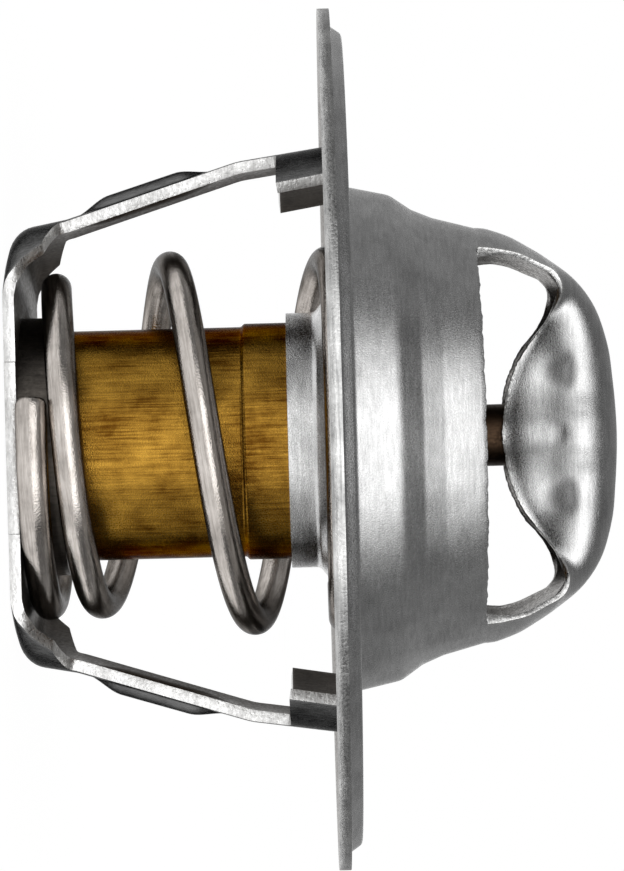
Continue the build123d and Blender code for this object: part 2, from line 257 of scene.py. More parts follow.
bridge_columns = 2 * STRIP_COLUMNS + 1
bridge = bridge_surface(BRIDGE_ROWS, bridge_columns)
root_columns = np.arange(-STRIP_COLUMNS, STRIP_COLUMNS + 1)
bridge[0] = bell[-1, root_columns % BELL_COLUMNS]
bridge[-1] = bell[-1, (BELL_COLUMNS // 2 - root_columns) % BELL_COLUMNS]
print("bridge", bridge.shape, "top at", round(float(bridge[..., 2].max()), 2), "mm")

# %% [markdown]
# The press leaves marks on the flaps: a ridge over the piston with a crushed spot on it, a dent on
# each side of it, and a long hollow under the shoulder.
# They could be sculpted; each is a short height formula here, and the grid's points move along Y.

# %% Press marks
DENT_X, DENT_Z, DENT_DEPTH = 3.9, 34.5, 0.1
DENT_HALF_LENGTH, DENT_ABOVE, DENT_BELOW, DENT_SLOPE = 1.5, 0.7, 2.0, 0.55
RIDGE_HALF_WIDTH, RIDGE_HEIGHT = 1.3, 0.12
VALLEY_X, VALLEY_HALF_WIDTH, VALLEY_DEPTH = 2.6, 0.8, 0.08
TUCK_Z, TUCK_HALF_HEIGHT, TUCK_DEPTH = 33.3, 1.4, 0.34
TUCK_END, TUCK_FADE = 7, 2
PIT_Z, PIT_DEPTH, PIT_HALF_LENGTH, PIT_HALF_HEIGHT = 34.0, 0.14, 0.75, 0.35
PIT_EDGE, PIT_WOBBLE = 1.2, 0.5
FACING_FROM, FACING_FADE = 1.2, 1.2
rng = np.random.default_rng(11)

def ragged(places, size, wave_lengths=(0.35, 0.6, 1.1, 2.3)):
    """A sum of sines with random phases, for torn and sheared edges; places and size in mm."""
    total = np.zeros_like(places)
    for length in wave_lengths:
        total += np.sin(2 * np.pi * places / length + rng.uniform(0, 2 * np.pi)) * rng.uniform(0.5, 1)
    return size * total / len(wave_lengths)


def dent_depth(points):
    """A D-shaped dip, worth 1 inside: sharp towards the shoulder, fading towards the edge."""
    aside = (np.abs(points[..., 0]) - DENT_X) / DENT_HALF_LENGTH
    above = points[..., 2] - DENT_Z
    apart = np.hypot(aside, above / np.where(above > 0, DENT_ABOVE, DENT_BELOW))
    inside = np.clip((1 - apart) / DENT_SLOPE, 0, 1)
    return inside * inside * (3 - 2 * inside)


def ridge_height(points):
    """A rounded ridge over the piston, with a valley on each side of it."""
    aside = np.abs(points[..., 0])
    ridge = RIDGE_HEIGHT * np.exp(-(aside / RIDGE_HALF_WIDTH)**4)
    return ridge - VALLEY_DEPTH * np.exp(-((aside - VALLEY_X) / VALLEY_HALF_WIDTH)**2)


def tuck_depth(points):
    """A long hollow, deepest along one height, that leaves the flap's foot upright."""
    beside = np.clip((TUCK_END - np.abs(points[..., 0])) / TUCK_FADE, 0, 1)
    return TUCK_DEPTH * beside * np.exp(-((points[..., 2] - TUCK_Z) / TUCK_HALF_HEIGHT)**2)


def pit_depth(points):
    """A small crushed spot on the ridge, its outline broken by ragged waves."""
    wobble = ragged(points[..., 2].ravel(), PIT_WOBBLE, (0.31, 0.47)).reshape(points.shape[:2])
    apart = np.hypot(points[..., 0] / PIT_HALF_LENGTH, (points[..., 2] - PIT_Z) / PIT_HALF_HEIGHT)
    return np.clip(PIT_EDGE - apart + wobble, 0, 1)


facing = np.clip((np.abs(bridge[..., 1]) - FACING_FROM) / FACING_FADE, 0, 1)
dents, pit = dent_depth(bridge), pit_depth(bridge)
press = ridge_height(bridge) - tuck_depth(bridge) - DENT_DEPTH * dents - PIT_DEPTH * pit
bridge[..., 1] += np.sign(bridge[..., 1]) * facing * press
print("hollows", round(float(press.min()), 2), "mm, ridge", round(float(press.max()), 2), "mm")

# %% [markdown]
# A die tears the last of the sheet instead of cutting it, so the free edges wander a little and the
# flaps' edges curl outwards. A sum of sines along each edge gives that, and the strips,
# which were cut more cleanly, get a fifth of it.

# %% Torn edges
TEAR, SILL_TEAR, CURL = 0.08, 0.11, 0.1
STRIP_SHARE = 0.2
FLAP_END, FLAP_FADE = 7.5, 2

for edge in (0, -1):
    steps = np.diff(bridge[:, edge], axis=0, prepend=bridge[:1, edge])
    run = np.cumsum(np.linalg.norm(steps, axis=-1))
    on_flap = np.clip((FLAP_END - np.abs(bridge[:, edge, 0])) / FLAP_FADE, 0, 1)
    tear = ragged(run, TEAR) * (STRIP_SHARE + (1 - STRIP_SHARE) * on_flap)
    bridge[1:-1, edge, 2] += tear[1:-1]
    bridge[:, edge, 1] += np.sign(bridge[:, edge, 1]) * CURL * on_flap * facing[:, edge]
sill_run = bell_angle * SILL_RADIUS
strip_half_angle = 2 * math.pi * (STRIP_COLUMNS + 1) / BELL_COLUMNS
free_sill = np.abs(np.cos(bell_angle)) < math.cos(strip_half_angle)
sill_waves = ragged(sill_run, SILL_TEAR, (0.5, 0.8, 1.4, 2.7, 4.1)) - SILL_TEAR
bell[-1, free_sill, 2] += sill_waves[free_sill]
print("torn edge of", round(float(run[-1]), 1), "mm on each side of the bridge")

# %% [markdown]
# Every piece goes the same way from numbers to the scene: a mesh from points and quads, a place on a
# body of the joint tree, and the CAD node that it stands in for. Doing it by hand would mean the same
# few lines for each of the seven pieces, so one function does it.

# %% Making a piece
WELD_DISTANCE = 1e-7

def make_piece(name, points, faces, body, node, slot, weld=False, marks=None, finish=None):
    """Put points in mm and faces into a mesh that replaces a CAD node and rides on its body.
    Marks are named numbers kept with the points, and finish is the material slot of each face."""
    mesh = bpy.data.meshes.new(name)
    mesh.from_pydata((np.asarray(points) * MM).tolist(), [], np.asarray(faces).tolist())
    for mark, values in (marks or {}).items():
        mesh.attributes.new(mark, "FLOAT", "POINT").data.foreach_set("value", values)
    if finish is not None:
        mesh.polygons.foreach_set("material_index", finish)
    if weld:
        work = bmesh.new()
        work.from_mesh(mesh)
        bmesh.ops.remove_doubles(work, verts=work.verts, dist=WELD_DISTANCE)
        work.to_mesh(mesh)
        work.free()
    mesh.polygons.foreach_set("use_smooth", np.ones(len(mesh.polygons), bool))
    piece = bpy.data.objects.new(name, mesh)
    bpy.context.scene.collection.objects.link(piece)
    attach(piece, body)
    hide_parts(node)
    print(name, len(mesh.vertices), "points", len(mesh.polygons), "faces")
    return piece


print("grids so far:", bell.shape, bridge.shape)

# %% [markdown]
# The bell and the bridge now become one mesh, and their shared points at the strips' roots are welded.
# Numbers kept with the points say where the sheet was pressed and how near an edge is. The finish
# paints shade into the dents and the crushed spot from the first, and the thickness uses the second.
# The lip's quads get a material slot of their own.

# %% Upper frame
LIP_SLOT = 3
PIT_SHADE = 0.6

bell_points = bell.size // 3
upper_points = np.vstack([bell.reshape(-1, 3), bridge.reshape(-1, 3)])
upper_quads = np.vstack([bell_quads, grid_quads(BRIDGE_ROWS, bridge_columns, start=bell_points)])
from_edge = STRIP_COLUMNS - np.abs(root_columns)
on_bell = np.zeros(bell_points)
# painted shade: the dents and, more faintly, the crushed spot are darkened in the finish
painted_dent_shade = (facing * np.maximum(dents, PIT_SHADE * pit)).ravel()
# 1 on the last two columns before an edge, a half on the third and 0 from the fourth on
near_edge = np.tile(np.clip(1.5 - from_edge / 2, 0, 1), BRIDGE_ROWS)
marks = {"painted_dent_shade": np.concatenate([on_bell, painted_dent_shade]), "edge": np.concatenate([on_bell, near_edge])}
lip_quads = np.tile(np.minimum(from_edge[:-1], from_edge[1:]) == 0, BRIDGE_ROWS - 1)
finish = np.concatenate([np.zeros(len(bell_quads), int), LIP_SLOT * lip_quads])
upper_frame = make_piece("upper_frame_sheet", upper_points, upper_quads, "frame", "upper_frame",
                         "frame_steel", weld=True, marks=marks, finish=finish)

# %% [markdown]
# The lower frame is a strap of thinner sheet: a plate with a hole for the wax cup, two legs, and two
# wide feet whose tongues are staked in the flange. It could be cut flat and bent with modifiers.
# The strap follows a turned dish, so two lines describe it: how the dish rises, and how wide the
# strap is at each height.

# %% Lines of the strap
PLATE_REACH, PLATE_HALF_WIDTH = 11.3, 8.2
CORNER_RADIUS = 13.65
LEG_START, LEG_BEND = np.array([14.3, 3.5]), np.array([17.64, 14.3])
LEG_TOP_RADIUS, LEG_HALF_WIDTH = 18.5, 3.0
FOOT_HALF_WIDTH, FOOT_LOW, FOOT_TOP, TONGUE_TOP = 9.0, 16.77, 20.27, 20.97
BEND_POINTS = 9

dish_line = rounded_line(
    [(PLATE_REACH, 0), (CORNER_RADIUS, 0), LEG_START, LEG_BEND, (LEG_TOP_RADIUS, FOOT_TOP),
     (LEG_TOP_RADIUS, TONGUE_TOP)],
    [1.7, 2.0, 5.0, 1.5], BEND_POINTS)
strap_edge = rounded_line(
    [(PLATE_HALF_WIDTH, -1), (PLATE_HALF_WIDTH, 0.7), (6.6, 2.3), (LEG_HALF_WIDTH, 3.05),
     (LEG_HALF_WIDTH, FOOT_LOW), (FOOT_HALF_WIDTH, FOOT_LOW)],
    [0.2, 0.3, 0.5, 0.3])
print("dish line of", len(dish_line), "points, edge line of", len(strap_edge), "points")

# %% [markdown]
# Three grids make one side of the strap: the corner and leg, the foot with its wings, and the tongue.
# A plane could be cut and pushed to this shape; rows along the dish keep the quads square to the bend.
# The rows lie closer together where the edge curves in to the leg.

# %% Strap, foot and tongue
STRAP_COLUMNS, WING_COLUMNS = 49, 24
STRAP_STEP, FOOT_STEP = 0.25, 0.3
RISE_START = 0.02
CURVE_LOW, CURVE_HIGH, CURVE_STEP = 2.0, 3.7, 0.05

span = np.linspace(-1, 1, STRAP_COLUMNS)


def on_dish(radius, height, y):
    """Points of the turned dish: X is the root of radius squared less Y squared."""
    radius, height, y = np.broadcast_arrays(radius, height, y)
    return np.stack([np.sqrt(radius**2 - y**2), y, height], axis=-1)


def dish_rows(low, high, step):
    """Rows of radius and height along the dish, from one height to another."""
    line = resample(dish_line, step)
    inside = line[(line[:, 1] > low + step / 3) & (line[:, 1] < high - step / 3)]
    ends = [[np.interp(height, line[:, 1], line[:, 0]), height] for height in (low, high)]
    return np.vstack([ends[:1], inside, ends[1:]])


def strap_grids():
    """The strap's grids on the +X side: plate to foot, foot with its wings, and tongue."""
    low_line = resample(dish_line, STRAP_STEP)
    flat = low_line[low_line[:, 1] <= 0]
    rise = dish_rows(RISE_START, FOOT_LOW, STRAP_STEP)
    curve = dish_rows(CURVE_LOW, CURVE_HIGH, CURVE_STEP)
    under = rise[rise[:, 1] < CURVE_LOW - CURVE_STEP]
    over = rise[rise[:, 1] > CURVE_HIGH + 2 * CURVE_STEP]
    low_line = np.vstack([flat, under, curve, over])
    half_width = np.interp(low_line[:, 1], strap_edge[:-1, 1], strap_edge[:-1, 0])
    strap = on_dish(low_line[:, :1], low_line[:, 1:], half_width[:, None] * span)
    foot_line = dish_rows(FOOT_LOW, FOOT_TOP, FOOT_STEP)
    inner = np.linspace(strap_edge[-2, 0], LEG_HALF_WIDTH, len(foot_line))[:, None]
    wing = np.linspace(0, 1, WING_COLUMNS + 1)[None, 1:]
    wing_y = inner + (FOOT_HALF_WIDTH - inner) * wing
    foot_y = np.hstack([-wing_y[:, ::-1], inner * span, wing_y])
    foot = on_dish(foot_line[:, :1], foot_line[:, 1:], foot_y)
    tongue_line = dish_rows(FOOT_TOP, TONGUE_TOP, FOOT_STEP)
    tongue = on_dish(tongue_line[:, :1], tongue_line[:, 1:], LEG_HALF_WIDTH * span)
    return strap, foot, tongue


strap, foot, tongue = strap_grids()
print("strap", strap.shape, "foot", foot.shape, "tongue", tongue.shape)

# %% [markdown]
# A bead pressed outwards stiffens each leg. It has the outline of a rod with tapered ends that is sunk
# in the sheet. A Boolean could join such a rod to the leg; as a height formula over the strap's own
# points, the leg stays one bent sheet.

# %% Beads
BEAD_HEIGHT, BEAD_HALF_WIDTH = 0.65, 1.9
BEAD_LOW, BEAD_HIGH, BEAD_TAPER = 3.9, 12.9, 2.4

def bead_height(points):
    """How far a rod with tapered ends stands out of the leg: its radius squared less the distance
    from its middle line squared, rooted, less the depth at which the rod's middle lies."""
    rod = (BEAD_HEIGHT**2 + BEAD_HALF_WIDTH**2) / (2 * BEAD_HEIGHT)
    from_end = np.minimum(points[..., 2] - BEAD_LOW, BEAD_HIGH - points[..., 2])
    share = np.clip(from_end / BEAD_TAPER, 0, 1)
    radius = rod - BEAD_HEIGHT * (1 - share * share * (3 - 2 * share))
    outside = np.sqrt(np.maximum(radius**2 - points[..., 1]**2, 0)) - (rod - BEAD_HEIGHT)
    return np.maximum(outside, 0)


bead = bead_height(strap)
leg_out = np.array([LEG_BEND[1] - LEG_START[1], 0, LEG_START[0] - LEG_BEND[0]])
strap += bead[..., None] * leg_out / np.linalg.norm(leg_out)
print("bead stands", round(float(bead.max()), 2), "mm out of the leg")

# %% [markdown]
# The plate between the legs has a hole with a drawn collar, in which the wax cup slides.
# It could be a disc cut to shape. Rings that start at the collar and end on the plate's outline
# need no cut: arcs where the straps begin, straight sides with a low tab between them.

# %% Plate and collar
HOLE_RADIUS, COLLAR_TOP, COLLAR_FOOT_RADIUS = 7.6, 3.2, 8.2
COLLAR_ROUND = COLLAR_FOOT_RADIUS - HOLE_RADIUS - 0.02
COLLAR_STEP = 0.5
TAB_HALF_LENGTH, TAB_STEP = 5.1, 0.2
SIDE_POINTS, PLATE_RINGS = 97, 7

def plate_grid():
    """Rings down the collar round the hole, then out to the plate's outline. At an angle, the outline
    is the strap's arc, or the half width over the sine where a straight side comes first."""
    arc = np.arcsin(PLATE_HALF_WIDTH * span / PLATE_REACH)
    side = np.linspace(arc[-1], np.pi - arc[-1], SIDE_POINTS)[1:-1]
    angle = np.concatenate([arc, side, np.pi + arc, np.pi + side])
    sine = np.abs(np.sin(angle))
    tab = np.abs(PLATE_HALF_WIDTH * np.cos(angle)) < TAB_HALF_LENGTH * sine
    outline = np.minimum(PLATE_REACH, (PLATE_HALF_WIDTH + TAB_STEP * tab) / np.maximum(sine, 1e-6))
    collar = rounded_line([(HOLE_RADIUS, COLLAR_TOP), (HOLE_RADIUS, 0), (COLLAR_FOOT_RADIUS, 0)],
                          [COLLAR_ROUND])
    collar = resample(collar, COLLAR_STEP)
    outward = np.linspace(0, 1, PLATE_RINGS)[1:, None]
    flat = COLLAR_FOOT_RADIUS + (outline - COLLAR_FOOT_RADIUS) * outward
    radius = np.vstack([np.repeat(collar[:, :1], len(angle), axis=1), flat])
    height = np.concatenate([collar[:, 1], np.zeros(len(flat))])[:, None]
    return np.stack([radius * np.cos(angle), radius * np.sin(angle), height + 0 * radius], axis=-1)


plate = plate_grid()
print("plate", plate.shape, "rings by points")

# %% [markdown]
# The plate, and the three grids of each side, are one piece of sheet on the real part.
# A mirror modifier could copy the second side; turning the sign of X and the order of each quad does
# the same here, and a weld closes the seams.

# %% Lower frame
lower_points, lower_quads, count = [], [], 0
for grid, closed in ((plate, True), (strap, False), (foot, False), (tongue, False)):
    sides = (1,) if closed else (1, -1)
    for side in sides:
        quads = grid_quads(*grid.shape[:2], closed=closed, start=count)
        lower_points.append((grid * [side, 1, 1]).reshape(-1, 3))
        lower_quads.append(quads if side > 0 else quads[:, ::-1])
        count += grid.shape[0] * grid.shape[1]
lower_frame = make_piece("lower_frame_strap", np.vstack(lower_points), np.vstack(lower_quads), "frame",
                         "lower_frame", "carrier_steel", weld=True)

# %% [markdown]
# The return spring is a round wire on a helix. It lies flat for the first turn, opens, and closes
# again under the valve plate, growing a little wider on the way.
# A curve object could follow it; here the pitch is a sum of ramps, so that the wire never kinks.

# %% Wire path
COIL_LOW_RADIUS, COIL_HIGH_RADIUS = 9.97, 11.25
SPRING_LOW, SPRING_HIGH = 1.68, 20.27
SPRING_TURNS, START_TURN = 3.4, -0.05
CLOSED_PITCH, LIFT_PITCH = 0.4, 4.8
LIFT_TURNS, OPEN_TURNS, WIDEN_TURNS, CLOSE_TURNS = (0.5, 0.8), (1.2, 1.5), (1.3, 1.9), (2.75, 2.95)

def ramp(turn, start, end):
    """Turns gained by a slope that grows evenly from 0 to 1 between two turns."""
    inside = np.clip(turn, start, end) - start
    return inside**2 / (2 * (end - start)) + np.maximum(turn - end, 0)


def stretches(turn):
    """Turns wound closed, lifting off and open, up to a turn."""
    lifted, opened = ramp(turn, *LIFT_TURNS), ramp(turn, *OPEN_TURNS)
    return turn - lifted, lifted - opened, opened - ramp(turn, *CLOSE_TURNS)


def wire_path(turn):
    """A helix that lies nearly flat, lifts off, opens to its full pitch and lies flat under the valve.
    Its radius grows by a smooth step where the coils open."""
    whole = stretches(SPRING_TURNS)
    pitch = (SPRING_HIGH - SPRING_LOW - CLOSED_PITCH * whole[0] - LIFT_PITCH * whole[1]) / whole[2]
    closed, lifted, opened = stretches(turn)
    share = np.clip((turn - WIDEN_TURNS[0]) / (WIDEN_TURNS[1] - WIDEN_TURNS[0]), 0, 1)
    radius = COIL_LOW_RADIUS + (COIL_HIGH_RADIUS - COIL_LOW_RADIUS) * share**2 * (3 - 2 * share)
    angle = 2 * np.pi * (START_TURN + turn)
    height = SPRING_LOW + CLOSED_PITCH * closed + LIFT_PITCH * lifted + pitch * opened
    return np.stack([radius * np.sin(angle), -radius * np.cos(angle), height], axis=-1)


print("wire ends at", np.round(wire_path(np.array([0, SPRING_TURNS])), 2).tolist(), "mm")

# %% [markdown]
# Rings of points square to the path make the wire. A curve with a bevel would do; a grid gives each
# point a place along the wire and a place round it, which the wire's grain then follows as a UV map.
# On the real part the spring is pressed together between the plate and the lower frame when the valve
# opens; this mesh keeps one shape.

# %% Return spring
WIRE_RADIUS = 0.96
WIRE_ROWS, WIRE_COLUMNS = 760, 40
END_RINGS = [1e-4, 0.9]
GRAIN_ROUND = 5.2

def wire_tube(rows, columns):
    """Rings of wire round the path, square to it, closed at both ends by rings that shrink."""
    path = wire_path(np.linspace(0, SPRING_TURNS, rows))
    along = np.gradient(path, axis=0)
    along /= np.linalg.norm(along, axis=1, keepdims=True)
    outward = path * [1, 1, 0]
    outward -= (outward * along).sum(1, keepdims=True) * along
    outward /= np.linalg.norm(outward, axis=1, keepdims=True)
    upward = np.cross(along, outward)
    size = np.concatenate([END_RINGS, np.ones(rows - 4), END_RINGS[::-1]])
    path[0], path[-1] = path[1], path[-2]
    angle = 2 * np.pi * np.arange(columns)[None, :, None] / columns
    ring = np.cos(angle) * outward[:, None] + np.sin(angle) * upward[:, None]
    return path[:, None] + WIRE_RADIUS * size[:, None, None] * ring


tube = wire_tube(WIRE_ROWS, WIRE_COLUMNS)
wire_quads = grid_quads(WIRE_ROWS, WIRE_COLUMNS, closed=True)[:, ::-1]
spring = make_piece("return_spring_wire", tube.reshape(-1, 3), wire_quads, "frame", "return_spring",
                    "spring_steel")
wire_uv = spring.data.uv_layers.new(name="along_the_wire")
loop_points = np.empty(len(spring.data.loops), int)
spring.data.loops.foreach_get("vertex_index", loop_points)
row, column = np.divmod(loop_points, WIRE_COLUMNS)
seam = (np.arange(len(loop_points)) // 4 % WIRE_COLUMNS == WIRE_COLUMNS - 1) & (column == 0)
wire_length = 2 * math.pi * COIL_LOW_RADIUS * SPRING_TURNS
grain_round = (column + seam * WIRE_COLUMNS) / WIRE_COLUMNS * GRAIN_ROUND
uv = np.stack([row / WIRE_ROWS * wire_length, grain_round], axis=1)
wire_uv.data.foreach_set("uv", uv.ravel())
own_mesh(spring)

# %% [markdown]
# The valve plate is a drawn disc whose rim closes on the seat and whose collar grips the cup.
# A Screw modifier could spin its profile; one numpy function makes the same mesh at once,
# a profile of radius and height carried round the axis.

# %% Valve plate
TURNED_COLUMNS = 192
VALVE_SHEET = 0.57
VALVE_STEP = 0.4
AXIS_RADIUS = 1e-4

def turned(profile, columns, closed=False):
    """Points and quads of a profile line carried round Z; a closed profile joins its end to its start."""
    profile = np.vstack([profile, profile[:1]]) if closed else np.asarray(profile)
    angle = 2 * np.pi * np.arange(columns) / columns
    radius = np.maximum(profile[:, :1], AXIS_RADIUS)
    points = np.stack([radius * np.cos(angle), radius * np.sin(angle),
                       np.repeat(profile[:, 1:], columns, axis=1)], axis=-1)
    return points.reshape(-1, 3), grid_quads(len(profile), columns, closed=True)


def sheet_profile(line, thickness):
    """The closed outline of a bent sheet: the line, and the same line moved to its left."""
    along = np.gradient(line, axis=0)
    along /= np.linalg.norm(along, axis=1, keepdims=True)
    moved = line + thickness * np.stack([-along[:, 1], along[:, 0]], axis=1)
    return np.vstack([line, moved[::-1]])


valve_line = rounded_line([(8.04, 17.10), (8.04, 18.885), (8.95, 19.59), (8.95, 21.25), (12.7, 21.25),
                           (14.146, 23.967)], [0.5, 0.3, 0.6, 0.8])
valve_sheet = sheet_profile(resample(valve_line, VALVE_STEP), VALVE_SHEET)
valve_plate = make_piece("valve_plate_disc", *turned(valve_sheet, TURNED_COLUMNS, True), "valve",
                         "valve_plate", "valve_steel", weld=True)

# %% [markdown]
# The brass cup holds the wax, the guide closes it, and the steel piston stands in the guide.
# All were drawn or turned, so the same function makes them from profiles with small rounds at the
# corners. Corners sharper than a given angle keep a hard line, as a turned edge does.

# %% Cup, guide and piston
ELEMENT_TOP = 20.70
ROD_STEP = 1.0
PISTON_COLUMNS = 96
SHARP_ANGLE = math.radians(40)

cup_line = rounded_line(
    [(0, 0.2), (7.25, 0.2), (7.25, 14.25), (7.45, 14.45), (7.45, ELEMENT_TOP), (4.5, ELEMENT_TOP),
     (4.5, 20.0), (6.35, 20.0), (6.35, 1.1), (0, 1.1)],
    [0.8, 0.2, 0.2, 0.4, 0.1, 0.05, 0.05, 0.3])
guide_line = rounded_line(
    [(2.0, 18.1), (6.33, 18.1), (6.33, 20.0), (3.6, 20.0), (3.6, 25.8), (3.1, 26.3), (2.0, 26.3)],
    [0.1, 0.1, 0.1, 0.1, 0.1])
piston_line = rounded_line(
    [(0, 7.05), (1.95, 7.05), (1.95, 36.29), (1.05, 37.19), (0, 37.19)], [0.1, 0.2, 0.2])
element_cup = make_piece("element_cup_shell", *turned(resample(cup_line, ROD_STEP), TURNED_COLUMNS),
                         "valve", "element_cup", "cup_brass", weld=True)
guide = make_piece("guide_stem", *turned(guide_line, TURNED_COLUMNS, True), "valve", "guide",
                   "guide_brass", weld=True)
piston = make_piece("piston_rod", *turned(resample(piston_line, ROD_STEP), PISTON_COLUMNS), "frame",
                    "piston", "piston_steel", weld=True)
for piece in (valve_plate, element_cup, guide, piston):
    piece.data.set_sharp_from_angle(angle=SHARP_ANGLE)

# %% [markdown]
# The two frames get their thickness and their broken edges from modifiers, so that the grids above
# stay single surfaces; a second grid for the inside would have to be kept in step by hand.
# A press draws the sheet thinner in the bridge, at its torn edges and in the collar, so weights on
# the points say which share of the thickness is left.

# %% Sheet thickness
SHEET, BRIDGE_SHEET, EDGE_SHEET = 0.75, 0.5, 0.32
THINNING_LENGTH = 1.5
FRAME_SHEET, COLLAR_WALL, COLLAR_MARGIN = 0.7, 0.55, 0.01
EDGE_ROUND, EDGE_ANGLE = 0.1, math.radians(50)
THICKNESS_LEVELS = 40

def thicken(piece, thickness):
    """Give a sheet its thickness on the inside. The rim takes the next material slot after its
    face's own, and the inner face the one after that."""
    wall = piece.modifiers.new("sheet", "SOLIDIFY")
    wall.thickness = thickness * MM
    wall.offset = -1
    wall.use_even_offset = True
    wall.material_offset_rim = 1
    wall.material_offset = 2
    rounding = piece.modifiers.new("broken edges", "BEVEL")
    rounding.width = EDGE_ROUND * MM
    rounding.segments = 2
    rounding.limit_method = "ANGLE"
    rounding.angle_limit = EDGE_ANGLE
    return wall


def thin(piece, wall, share_at):
    """Weigh the points, so that the sheet has a share of its full thickness at each place."""
    places = np.empty(3 * len(piece.data.vertices))
    piece.data.vertices.foreach_get("co", places)
    share = share_at(piece, places.reshape(-1, 3) / MM)
    share = np.round(share * THICKNESS_LEVELS) / THICKNESS_LEVELS
    group = piece.vertex_groups.new(name="thickness")
    for level in np.unique(share):
        group.add(np.flatnonzero(share == level).tolist(), float(level), "REPLACE")
    wall.vertex_group = group.name
    print(piece.name, "keeps from", round(float(share.min()), 2), "of its thickness")


def bridge_share(piece, places):
    """The sheet thins just above the sill, from the bell's thickness to the bridge's, and again at
    the bridge's edges."""
    edge = np.empty(len(places))
    piece.data.attributes["edge"].data.foreach_get("value", edge)
    above = np.clip((places[:, 2] - SILL) / THINNING_LENGTH, 0, 1)
    return 1 - above * (1 - BRIDGE_SHEET / SHEET) - above * edge * (BRIDGE_SHEET - EDGE_SHEET) / SHEET


def collar_share(piece, places):
    """The sheet is drawn thinner in the collar round the hole."""
    in_collar = np.hypot(places[:, 0], places[:, 1]) < COLLAR_FOOT_RADIUS + COLLAR_MARGIN
    return np.where(in_collar, COLLAR_WALL / FRAME_SHEET, 1)


thin(upper_frame, thicken(upper_frame, SHEET), bridge_share)
thin(lower_frame, thicken(lower_frame, FRAME_SHEET), collar_share)

# %% [markdown]
# The finishes are made of shader nodes, which are quicker to write down than to draw by hand.
# These helpers add a node, draw noise, stretch a range of values, mix colours, and turn values into
# colours or a bump. The noise reads coordinates in millimetres, so that a grain keeps its size.

# %% Node helpers
def node(tree, kind, inputs=None, **settings):
    """Add a node, set its properties, then set or link its inputs."""
    made = tree.nodes.new(kind)
    for key, value in settings.items():
        setattr(made, key, value)
    for key, value in (inputs or {}).items():
        if isinstance(value, bpy.types.NodeSocket):
            tree.links.new(value, made.inputs[key])
        else:
            made.inputs[key].default_value = value
    return made


def grain(tree, per_mm, stretch=(1, 1, 1), detail=4.0, rough=0.6, coordinates="Object"):
    """Noise with so many features to the millimetre, drawn out where stretch is below 1."""
    place = node(tree, "ShaderNodeTexCoord").outputs[coordinates]
    unit = 1 / MM if coordinates == "Object" else 1
    scaled = node(tree, "ShaderNodeMapping", {"Vector": place, "Scale": [unit * s for s in stretch]})
    noise = node(tree, "ShaderNodeTexNoise", {"Vector": scaled.outputs[0], "Scale": per_mm,
                                              "Detail": detail, "Roughness": rough})
    return noise.outputs["Fac"]


def spread(tree, value, low, high, to_low=0.0, to_high=1.0):
    """Map a range of values onto another, and hold its ends."""
    return node(tree, "ShaderNodeMapRange", {"Value": value, "From Min": low, "From Max": high,
                                             "To Min": to_low, "To Max": to_high}).outputs[0]


def colours(tree, value, *stops):
    """Turn a value into a colour, by stops of place and linear red, green and blue."""
    ramp_node = node(tree, "ShaderNodeValToRGB", {"Fac": value})
    elements = ramp_node.color_ramp.elements
    while len(elements) < len(stops):
        elements.new(0.5)
    for element, (place, rgb) in zip(elements, stops):
        element.position = place
        element.color = (*rgb, 1)
    return ramp_node.outputs[0]


def mixed_colours(tree, share, first, second):
    """The first colour, and the second where the share is 1."""
    mix = node(tree, "ShaderNodeMix", {0: share, 6: first, 7: second}, data_type="RGBA")
    return mix.outputs[2]


def bumped(tree, height, depth_mm, under=None):
    """A bump of a height map, laid over another bump."""
    inputs = {"Height": height, "Strength": 1.0, "Distance": depth_mm * MM}
    if under is not None:
        inputs["Normal"] = under
    return node(tree, "ShaderNodeBump", inputs).outputs[0]


def grey(value):
    """A neutral colour."""
    return (value, value, value)


print("a middle grey is", grey(0.5))

# %% [markdown]
# Bare metal needs three things: a base colour, a roughness that wanders, and a bump of grain.
# Photographs of sheet metal could be wrapped round the pieces, but they would stretch at the bends.
# One small recipe of noise serves every metal here, and only its numbers differ. The upper frame's
# steel comes first.

# %% Metal recipe
CLOUDS_PER_MM = 0.35
SMOOTH_BELOW, PITTED_ABOVE = 0.35, 0.65
# the grey that the painted shade in the dents and the crushed spot goes to
PAINTED_DENT_GREY = 0.32

def metal(name, dark, light, shine, pits, lines, coordinates="Object", edge=1.0, mark=None, calm=0.35):
    """A bare metal whose colour drifts from dark to light and whose roughness lies between two shines.
    Pits are so many to the millimetre and so deep; lines are stretched by three numbers and so deep.
    Edge is how bright it stays where it turns away, and a mark kept with the points paints shade on it,
    towards a grey.
    A calm colour seldom reaches its two ends."""
    material = bpy.data.materials.new(name)
    material.use_nodes = True
    tree = material.node_tree
    surface = tree.nodes["Principled BSDF"]
    surface.inputs["Metallic"].default_value = 1
    surface.inputs["Specular Tint"].default_value = (*grey(edge), 1)
    (pits_per_mm, pit_depth_mm), (stretch, line_depth_mm) = pits, lines
    cloud = grain(tree, CLOUDS_PER_MM, coordinates=coordinates)
    pitted = grain(tree, pits_per_mm, detail=2, rough=0.6, coordinates=coordinates)
    lined = grain(tree, 1.0, stretch=stretch, detail=5, rough=0.65, coordinates=coordinates)
    mixed = node(tree, "ShaderNodeMath", {0: cloud, 1: lined}, operation="ADD").outputs[0]
    colour = colours(tree, spread(tree, mixed, 1 - calm, 1 + calm), (0, dark), (1, light))
    # painted shade: the mark darkens the colour towards a grey in the dents and the crushed spot
    if mark:
        painted_dent_shade = node(tree, "ShaderNodeAttribute", attribute_name=mark).outputs["Fac"]
        colour = mixed_colours(tree, painted_dent_shade, colour, (*grey(PAINTED_DENT_GREY), 1))
    tree.links.new(colour, surface.inputs["Base Color"])
    roughness = spread(tree, pitted, SMOOTH_BELOW, PITTED_ABOVE, *shine)
    tree.links.new(roughness, surface.inputs["Roughness"])
    pit_bump = bumped(tree, pitted, pit_depth_mm)
    tree.links.new(bumped(tree, lined, line_depth_mm, under=pit_bump), surface.inputs["Normal"])
    return material
